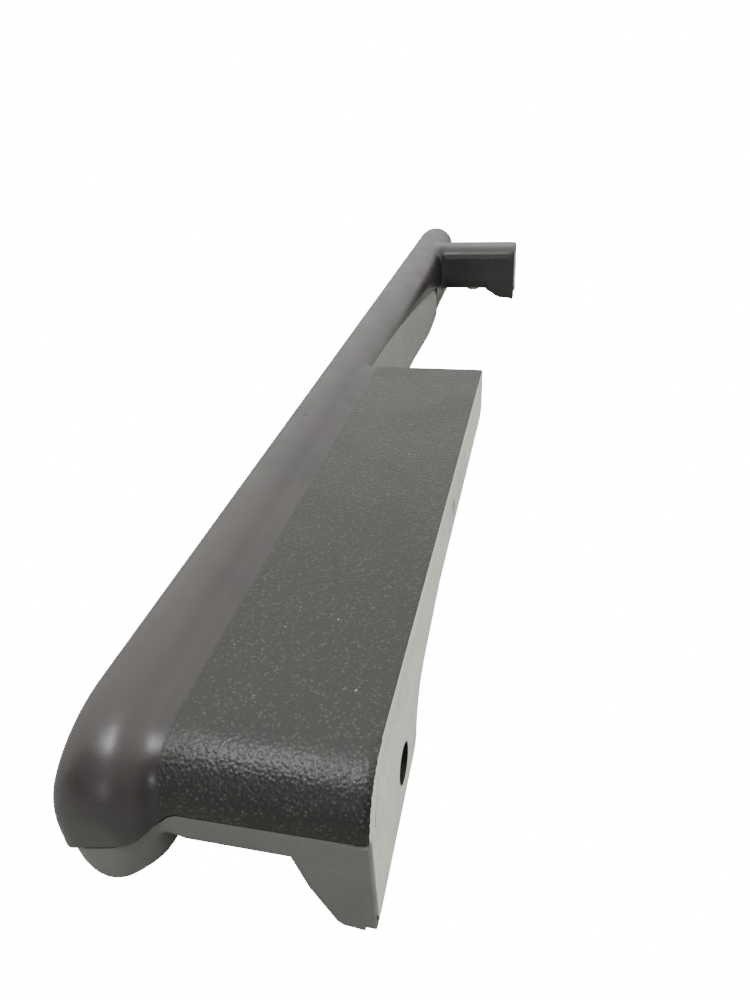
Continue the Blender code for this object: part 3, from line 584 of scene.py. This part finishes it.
def paddle_form(name):
    """The finger paddle: many sections, the last few drawn in at each end to round it off."""
    sections = []
    steps = 60
    for i in range(steps + 1):
        x = PADDLE_NEAR_X + (PADDLE_FAR_X - PADDLE_NEAR_X) * i / steps
        section = smooth_loop(paddle_section(x), 4)
        to_end = min(x - PADDLE_FAR_X, 3.0) / 3.0
        to_start = min(PADDLE_NEAR_X - x, 1.0)
        full = math.sqrt(1.0 - (1.0 - min(to_end, 0.4 + 0.6 * to_start)) ** 2)
        share = 0.72 + 0.28 * full
        centre_y = sum(y for y, _ in section) / len(section)
        centre_z = sum(z for _, z in section) / len(section)
        drawn = [(centre_y + share * (y - centre_y), centre_z + share * (z - centre_z)) for y, z in section]
        sections.append((x, drawn))
    return loft(name, sections)


def arm_outline():
    """Plan view of the rocker: from inside the paddle, round the pivot, along the tail."""
    return [
        (PADDLE_NEAR_X - 3.0, PADDLE_FRONT_Y + 0.2),
        (PIVOT_X, PIVOT_Y - HUB_RADIUS + 0.4),
        (PIVOT_X + 4.0, PIVOT_Y - 1.5),
        (PIVOT_X + 11.0, TAIL_FRONT_Y),
        (PLUNGER_X + 3.5, TAIL_FRONT_Y),
        (PLUNGER_X + 3.5, TAIL_REAR_Y),
        (PIVOT_X + 9.0, TAIL_REAR_Y),
        (PIVOT_X + 2.0, PIVOT_Y + 4.0),
        (PIVOT_X - 3.0, PIVOT_Y + 1.0),
        (PIVOT_X - 4.5, BAR_REAR_Y - 0.4),
        (PADDLE_NEAR_X - 3.0, BAR_REAR_Y - 0.4),
    ]


def bevel(thing, width, segments=3):
    modifier = thing.modifiers.new("edge", "BEVEL")
    modifier.width = width * MM
    modifier.segments = segments
    modifier.limit_method = "ANGLE"
    settle(thing)


def make_trigger():
    trigger = paddle_form("trigger_skin")
    low = ARM_Z - ARM_HEIGHT / 2
    high = ARM_Z + ARM_HEIGHT / 2
    arm = prism("arm", arm_outline(), "z", low, high)
    bevel(arm, 0.4)
    pivot = (PIVOT_X, PIVOT_Y, 0)
    hub = rod("hub", HUB_RADIUS, "z", pivot, low, high)
    join(trigger, arm, hub)
    cut(trigger, rod("bore", PIVOT_BORE, "z", pivot, low - 5, high + 5))
    end = (PLUNGER_X, 0, ARM_Z)
    cut(trigger, rod("thread", THREAD_RADIUS, "y", end, TAIL_FRONT_Y - 5.0, TAIL_REAR_Y + 5.0))
    finish_piece(trigger, "trigger", "grey_plastic", "trigger")
    return trigger


# ---------------------------------------------------------------- the springs


def coil(name, radius, wire, turns, centre, low_y, high_y):
    """A compression spring along Y, with its two end turns closed up."""
    steps = 24
    sides = 10
    total = turns * steps
    shape = bmesh.new()
    rings = []
    for i in range(total + 1):
        share = i / total
        closing = 0.5 * (1.0 - math.cos(math.pi * share))
        height = low_y + wire + (high_y - low_y - 2.0 * wire) * (0.7 * share + 0.3 * closing)
        angle = math.tau * i / steps
        outward = Vector((math.cos(angle), 0.0, math.sin(angle)))
        middle = Vector((centre[0], height, centre[1])) + radius * outward
        ring = []
        for k in range(sides):
            spin = math.tau * k / sides
            around = math.cos(spin) * outward + math.sin(spin) * Vector((0.0, 1.0, 0.0))
            ring.append(shape.verts.new(middle + wire * around))
        rings.append(ring)
    for first, second in zip(rings, rings[1:]):
        for k in range(sides):
            m = (k + 1) % sides
            shape.faces.new((first[k], first[m], second[m], second[k]))
    shape.faces.new(rings[0])
    shape.faces.new(rings[-1])
    return add_object(name, shape)


def make_spring(node, radius, wire):
    """A coil spring as long as its node's box, fixed to the handle."""
    low, high = in_mm(node)
    middle = (low + high) / 2
    spring = coil(node + "_coil", radius, wire, 8, (middle.x, middle.z), low.y, high.y)
    finish_piece(spring, "handle", "spring_steel", node)
    paint_all(spring, SPRING)
    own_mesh(spring)


# ---------------------------------------------------------------- materials


class Finish:
    """A node material under construction; places come in millimetres of the object's own frame."""

    def __init__(self, name, roughness, metallic=0.0, coat=0.0):
        self.material = bpy.data.materials.new(name)
        self.material.use_nodes = True
        self.tree = self.material.node_tree
        self.shader = self.tree.nodes["Principled BSDF"]
        self.shader.inputs["Roughness"].default_value = roughness
        self.shader.inputs["Metallic"].default_value = metallic
        self.shader.inputs["Coat Weight"].default_value = coat
        place = self.tree.nodes.new("ShaderNodeTexCoord").outputs["Object"]
        scale = self.tree.nodes.new("ShaderNodeVectorMath")
        scale.operation = "SCALE"
        scale.inputs["Scale"].default_value = 1.0 / MM
        self.tree.links.new(place, scale.inputs[0])
        self.place = scale.outputs[0]

    def link(self, source, target):
        if hasattr(source, "is_output"):
            self.tree.links.new(source, target)
        else:
            target.default_value = source

    def math(self, operation, *values):
        node = self.tree.nodes.new("ShaderNodeMath")
        node.operation = operation
        for value, socket in zip(values, node.inputs):
            self.link(value, socket)
        return node.outputs[0]

    def ramp(self, value, start, end, low=0.0, high=1.0):
        node = self.tree.nodes.new("ShaderNodeMapRange")
        node.interpolation_type = "SMOOTHSTEP"
        self.link(value, node.inputs["Value"])
        for socket, number in zip(("From Min", "From Max", "To Min", "To Max"), (start, end, low, high)):
            node.inputs[socket].default_value = number
        return node.outputs["Result"]

    def noise(self, cell, detail=2.0, place=None):
        """Smooth noise, 0 to 1, whose features are about one cell (in millimetres) wide."""
        node = self.tree.nodes.new("ShaderNodeTexNoise")
        self.link(place or self.place, node.inputs["Vector"])
        node.inputs["Scale"].default_value = 1.0 / cell
        node.inputs["Detail"].default_value = detail
        return node.outputs["Fac"]

    def cells(self, cell, kind="SMOOTH_F1"):
        node = self.tree.nodes.new("ShaderNodeTexVoronoi")
        node.feature = kind
        self.link(self.place, node.inputs["Vector"])
        node.inputs["Scale"].default_value = 1.0 / cell
        return node.outputs["Distance"]

    def mix(self, share, first, second):
        """Two colours mixed by a share."""
        node = self.tree.nodes.new("ShaderNodeMix")
        node.data_type = "RGBA"
        self.link(share, node.inputs[0])
        self.link(first if hasattr(first, "is_output") else (*first, 1.0), node.inputs[6])
        self.link(second if hasattr(second, "is_output") else (*second, 1.0), node.inputs[7])
        return node.outputs[2]

    def parts(self):
        node = self.tree.nodes.new("ShaderNodeSeparateXYZ")
        self.link(self.place, node.inputs[0])
        return node.outputs

    def spot(self, centre, inner, outer):
        """One inside a small ball about a place in millimetres, zero outside it."""
        node = self.tree.nodes.new("ShaderNodeVectorMath")
        node.operation = "DISTANCE"
        self.link(self.place, node.inputs[0])
        node.inputs[1].default_value = centre
        return self.ramp(node.outputs["Value"], inner, outer, 1.0, 0.0)

    def bump(self, height, depth, strength=1.0):
        """Relief: a height of 0 to 1 stands for a depth in millimetres."""
        node = self.tree.nodes.new("ShaderNodeBump")
        self.link(height, node.inputs["Height"])
        self.link(strength, node.inputs["Strength"])
        node.inputs["Distance"].default_value = depth * MM
        self.link(node.outputs[0], self.shader.inputs["Normal"])

    def colour(self, value):
        self.link(value, self.shader.inputs["Base Color"])

    def roughness(self, value):
        self.link(value, self.shader.inputs["Roughness"])


DARK_SPOT = (-25.8, -31.9, 6.9)  # a small spot on top of the bar, painted near black


def black_plastic():
    """Smooth satin on the bar and post; a fine pebble grain on the block, with painted glints; painted shade
    along the crease behind the bar.
    """
    finish = Finish("black_plastic", 0.35)
    x, y, _ = finish.parts()
    on_block = finish.math("MULTIPLY", finish.ramp(y, -24.6, -23.8), finish.ramp(x, -70.0, -60.0))
    pebbles = finish.ramp(finish.cells(0.42), 0.1, 0.7, 1.0, 0.0)
    fine = finish.noise(0.14, 3.0)
    grain = finish.math("ADD", finish.math("MULTIPLY", pebbles, 0.8), finish.math("MULTIPLY", fine, 0.45))
    smooth = finish.math("MULTIPLY", finish.noise(0.5, 4.0), 0.10)
    finish.bump(finish.math("ADD", finish.math("MULTIPLY", grain, on_block), smooth), 0.05)
    patches = finish.ramp(finish.noise(14.0, 3.0), 0.35, 0.7)
    bar_colour = finish.mix(patches, (0.029, 0.0272, 0.0268), (0.037, 0.0355, 0.0342))
    block_colour = finish.mix(patches, (0.0060, 0.0066, 0.0060), (0.0090, 0.0096, 0.0088))
    # Painted glints: lighter specks in the colour of the block's grain stand in for tiny highlights on the
    # pebbles.
    dots = finish.ramp(finish.cells(0.50, "F1"), 0.10, 0.50, 1.0, 0.0)
    glint_dots = finish.math("MULTIPLY", dots, finish.ramp(finish.noise(0.8, 3.0), 0.34, 0.66))
    painted_glints = finish.math("MULTIPLY", glint_dots, on_block)
    scuffs = finish.math("MULTIPLY", finish.ramp(finish.noise(0.8, 2.0), 0.765, 0.79), on_block)
    # Painted shade: the bar's colour goes darker along the crease where it meets the block and the trigger.
    crease_shade = finish.ramp(finish.math("ABSOLUTE", finish.math("ADD", y, 24.9)), 0.4, 2.0, 0.75, 0.0)
    bar_colour = finish.mix(crease_shade, bar_colour, (0.008, 0.008, 0.008))
    bar_tint = finish.ramp(finish.noise(30.0, 2.0), 0.35, 0.65)
    bar_colour = finish.mix(finish.math("MULTIPLY", bar_tint, 0.5), bar_colour, (0.036, 0.029, 0.030))
    bar_colour = finish.mix(finish.spot(DARK_SPOT, 0.35, 0.8), bar_colour, (0.002, 0.002, 0.002))
    colour = finish.mix(on_block, bar_colour, block_colour)
    colour = finish.mix(finish.math("MULTIPLY", painted_glints, 0.8), colour, (0.062, 0.066, 0.060))
    finish.colour(finish.mix(finish.math("MULTIPLY", scuffs, 0.7), colour, (0.42, 0.42, 0.40)))
    streaks = finish.ramp(finish.noise(6.0, 5.0), 0.3, 0.75, 0.30, 0.40)
    grain_rough = finish.ramp(patches, 0.0, 1.0, 0.36, 0.44)
    rough = finish.math(
        "ADD",
        finish.math("MULTIPLY", grain_rough, on_block),
        finish.math("MULTIPLY", streaks, finish.math("SUBTRACT", 1.0, on_block)),
    )
    finish.roughness(rough)
    return finish.material


def seal(name, dark, light, roughness):
    """The pale pad: cloudy cream, painted shade on the wall of the screw hole, faint grime in patches."""
    finish = Finish(name, roughness)
    x, _, z = finish.parts()
    across = finish.math("SUBTRACT", x, LUG_HOLE_X)
    up = finish.math("SUBTRACT", z, LUG_HOLE_Z)
    squares = finish.math("ADD", finish.math("MULTIPLY", across, across), finish.math("MULTIPLY", up, up))
    away = finish.math("SQRT", squares)
    clouds = finish.ramp(finish.noise(6.0, 5.0), 0.3, 0.7)
    colour = finish.mix(clouds, dark, light)
    grime = finish.math("MULTIPLY", finish.ramp(finish.noise(2.2, 5.0), 0.52, 0.72), 0.35)
    colour = finish.mix(grime, colour, (0.40, 0.41, 0.36))
    # Painted shade: the colour goes near black on the wall of the lug's screw hole.
    finish.colour(finish.mix(finish.ramp(away, 2.62, 3.0, 1.0, 0.0), colour, (0.006, 0.006, 0.006)))
    finish.roughness(finish.ramp(finish.noise(3.0, 5.0), 0.3, 0.7, roughness - 0.05, roughness + 0.1))
    finish.bump(finish.noise(0.6, 4.0), 0.03)
    return finish.material


def plain_moulding(name, dark, light, roughness, depth=0.02):
    """Moulded plastic: faint cloudy colour, uneven satin, very fine relief."""
    finish = Finish(name, roughness)
    clouds = finish.ramp(finish.noise(9.0, 4.0), 0.3, 0.7)
    finish.colour(finish.mix(clouds, dark, light))
    finish.roughness(finish.ramp(finish.noise(3.0, 5.0), 0.3, 0.7, roughness - 0.05, roughness + 0.07))
    finish.bump(finish.noise(0.4, 4.0), depth)
    return finish.material


def metal(name, dark, light, roughness, depth=0.01):
    finish = Finish(name, roughness, metallic=1.0)
    finish.colour(finish.mix(finish.ramp(finish.noise(1.5, 4.0), 0.35, 0.65), dark, light))
    finish.roughness(finish.ramp(finish.noise(0.8, 5.0), 0.3, 0.7, roughness - 0.06, roughness + 0.1))
    finish.bump(finish.noise(0.25, 3.0), depth)
    return finish.material


BLACK = black_plastic()
GREY = plain_moulding("grey_plastic", (0.112, 0.124, 0.112), (0.124, 0.136, 0.123), 0.42)
# Painted light: the trigger is the same grey plastic as the carrier, made lighter for the light its
# upward-tilted face catches.
PADDLE_GREY_PAINTED_LIGHT = plain_moulding("paddle_grey_painted_light", (0.212, 0.212, 0.195), (0.222, 0.222, 0.204), 0.45)
# Painted reflection: cream for the black cover's wall end, where grazing light off bright surroundings makes
# it look pale.
GRAZING_SHEEN = plain_moulding("painted_grazing_sheen", (0.72, 0.72, 0.64), (0.80, 0.80, 0.72), 0.5)
PALE = seal("pale_seal", (0.72, 0.72, 0.64), (0.80, 0.80, 0.72), 0.55)
NYLON = plain_moulding("white_nylon", (0.62, 0.62, 0.58), (0.72, 0.72, 0.68), 0.45)
RUBBER = plain_moulding("rubber", (0.014, 0.014, 0.014), (0.022, 0.022, 0.022), 0.7)
STEEL = metal("steel", (0.45, 0.45, 0.46), (0.56, 0.56, 0.57), 0.3)
SPRING = metal("spring_steel", (0.30, 0.30, 0.31), (0.40, 0.40, 0.42), 0.32)
ZINC = metal("yellow_zinc", (0.52, 0.42, 0.16), (0.66, 0.56, 0.26), 0.32)
BRASS = metal("brass", (0.60, 0.42, 0.16), (0.72, 0.53, 0.24), 0.3)

NODE_FINISHES = {
    "carrier": GREY,
    "block_pad": PALE,
    "post_pad": PALE,
    "lug_insert": BRASS,
    "post_insert": BRASS,
    "trigger": PADDLE_GREY_PAINTED_LIGHT,
    "trigger_bush": NYLON,
    "pivot_pin": STEEL,
    "pivot_bracket": STEEL,
    "bracket_screw_1": STEEL,
    "bracket_screw_2": STEEL,
    "adjusting_screw": STEEL,
    "lock_nut": STEEL,
    "rest_buffer": RUBBER,
    "squeeze_buffer": RUBBER,
    "plunger": STEEL,
    "plunger_guide": NYLON,
    "plunger_spring": SPRING,
    "return_spring": SPRING,
}


def paint_nodes():
    for name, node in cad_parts.items():
        paint_all(node, NODE_FINISHES.get(name, ZINC))


def paint_cover(cover):
    """Black all over, with a painted pale sheen on the end face of the block's wall at the door, standing in
    for a grazing reflection.
    """
    paint_all(cover, BLACK)
    cover.data.materials.append(GRAZING_SHEEN)
    for face in cover.data.polygons:
        if face.normal.y > 0.95 and face.center.y > -0.3 * MM and face.center.x > BLOCK_FAR_X * MM:
            face.material_index = 1


# ---------------------------------------------------------------- camera, light, floor


def add_camera():
    data = bpy.data.cameras.new("camera")
    data.sensor_width = 36.0
    data.lens = 27.36
    data.clip_start = 0.005
    camera = bpy.data.objects.new("camera", data)
    right = Vector((-0.2195, 0.9739, -0.0578))
    up = Vector((-0.5194, -0.0665, 0.8519))
    forward = Vector((-0.8258, -0.2170, -0.5205))
    rotation = Matrix((right, up, -forward)).transposed()
    camera.matrix_world = Matrix.Translation((0.104, 0.01534, 0.070)) @ rotation.to_4x4()
    bpy.context.scene.collection.objects.link(camera)
    bpy.context.scene.camera = camera


NOSE_TOP = (0.054, -0.030, 0.005)
NOSE_END = (0.058, -0.029, 0.0014)


def add_light(name, place, target, size, power):
    data = bpy.data.lights.new(name, "AREA")
    data.shape = "RECTANGLE"
    data.size, data.size_y = size
    data.energy = power
    light = bpy.data.objects.new(name, data)
    light.location = place
    light.rotation_euler = (Vector(target) - Vector(place)).to_track_quat("-Z", "Y").to_euler()
    bpy.context.scene.collection.objects.link(light)


BACKDROP_GLOW = 18.0
FLOOR_Z = -20.0
FLOOR_REACH = 3000.0


def map_range(tree, value, start, end, low, high):
    node = tree.nodes.new("ShaderNodeMapRange")
    node.interpolation_type = "SMOOTHSTEP"
    tree.links.new(value, node.inputs["Value"])
    for socket, number in zip(("From Min", "From Max", "To Min", "To Max"), (start, end, low, high)):
        node.inputs[socket].default_value = number
    return node.outputs["Result"]


def backdrop_share(tree):
    """One for what the camera sees straight on, where the backdrop is overexposed; else zero."""
    return tree.nodes.new("ShaderNodeLightPath").outputs["Is Camera Ray"]


def mix_numbers(tree, share, first, second):
    node = tree.nodes.new("ShaderNodeMix")
    tree.links.new(share, node.inputs["Factor"])
    for value, socket in ((first, "A"), (second, "B")):
        if hasattr(value, "is_output"):
            tree.links.new(value, node.inputs[socket])
        else:
            node.inputs[socket].default_value = value
    return node.outputs["Result"]


def add_world():
    """A soft tent: brightest overhead, dim at the horizon, darkest low beyond the near end."""
    world = bpy.data.worlds.new("studio")
    world.use_nodes = True
    tree = world.node_tree
    direction = tree.nodes.new("ShaderNodeSeparateXYZ")
    tree.links.new(tree.nodes.new("ShaderNodeTexCoord").outputs["Generated"], direction.inputs[0])
    x, _, z = direction.outputs
    overhead = map_range(tree, z, 0.0, 0.9, 1.2, 2.2)
    beyond_end = map_range(tree, x, 0.12, 0.55, 1.0, 0.14)
    up_high = map_range(tree, z, 0.65, 0.97, 0.0, 1.0)
    dimmed = mix_numbers(tree, up_high, beyond_end, 1.0)
    glow = tree.nodes.new("ShaderNodeMath")
    glow.operation = "MULTIPLY"
    tree.links.new(overhead, glow.inputs[0])
    tree.links.new(dimmed, glow.inputs[1])
    background = tree.nodes["Background"]
    background.inputs["Color"].default_value = (1.0, 0.99, 0.955, 1.0)
    strength = mix_numbers(tree, backdrop_share(tree), glow.outputs[0], BACKDROP_GLOW)
    tree.links.new(strength, background.inputs["Strength"])
    bpy.context.scene.world = world


def add_floor():
    """A floor under the lug: overexposed as the camera sees it, grey to all other light."""
    low = (-FLOOR_REACH, -FLOOR_REACH, FLOOR_Z - 2.0)
    floor = box("floor", low, (FLOOR_REACH, FLOOR_REACH, FLOOR_Z))
    material = bpy.data.materials.new("floor_white")
    material.use_nodes = True
    tree = material.node_tree
    shader = tree.nodes["Principled BSDF"]
    shader.inputs["Base Color"].default_value = (0.32, 0.32, 0.31, 1.0)
    shader.inputs["Roughness"].default_value = 0.9
    shader.inputs["Emission Color"].default_value = (1.0, 1.0, 1.0, 1.0)
    glow = mix_numbers(tree, backdrop_share(tree), 0.0, BACKDROP_GLOW)
    tree.links.new(glow, shader.inputs["Emission Strength"])
    floor.data.materials.append(material)


def make_handle():
    paint_nodes()
    paint_cover(make_cover())
    paint_all(make_carrier(), GREY)
    paint_all(make_trigger(), PADDLE_GREY_PAINTED_LIGHT)
    make_spring("plunger_spring", 1.63, 0.2)
    make_spring("return_spring", 1.6, 0.3)


def make_studio():
    add_camera()
    add_world()
    add_floor()
    add_light("overhead_spot", (0.256, -0.177, 0.55), NOSE_TOP, (0.12, 0.12), 1.6)
    add_light("end_spot", (0.621, -0.120, 0.201), NOSE_END, (0.05, 0.05), 0.3)


make_handle()
make_studio()
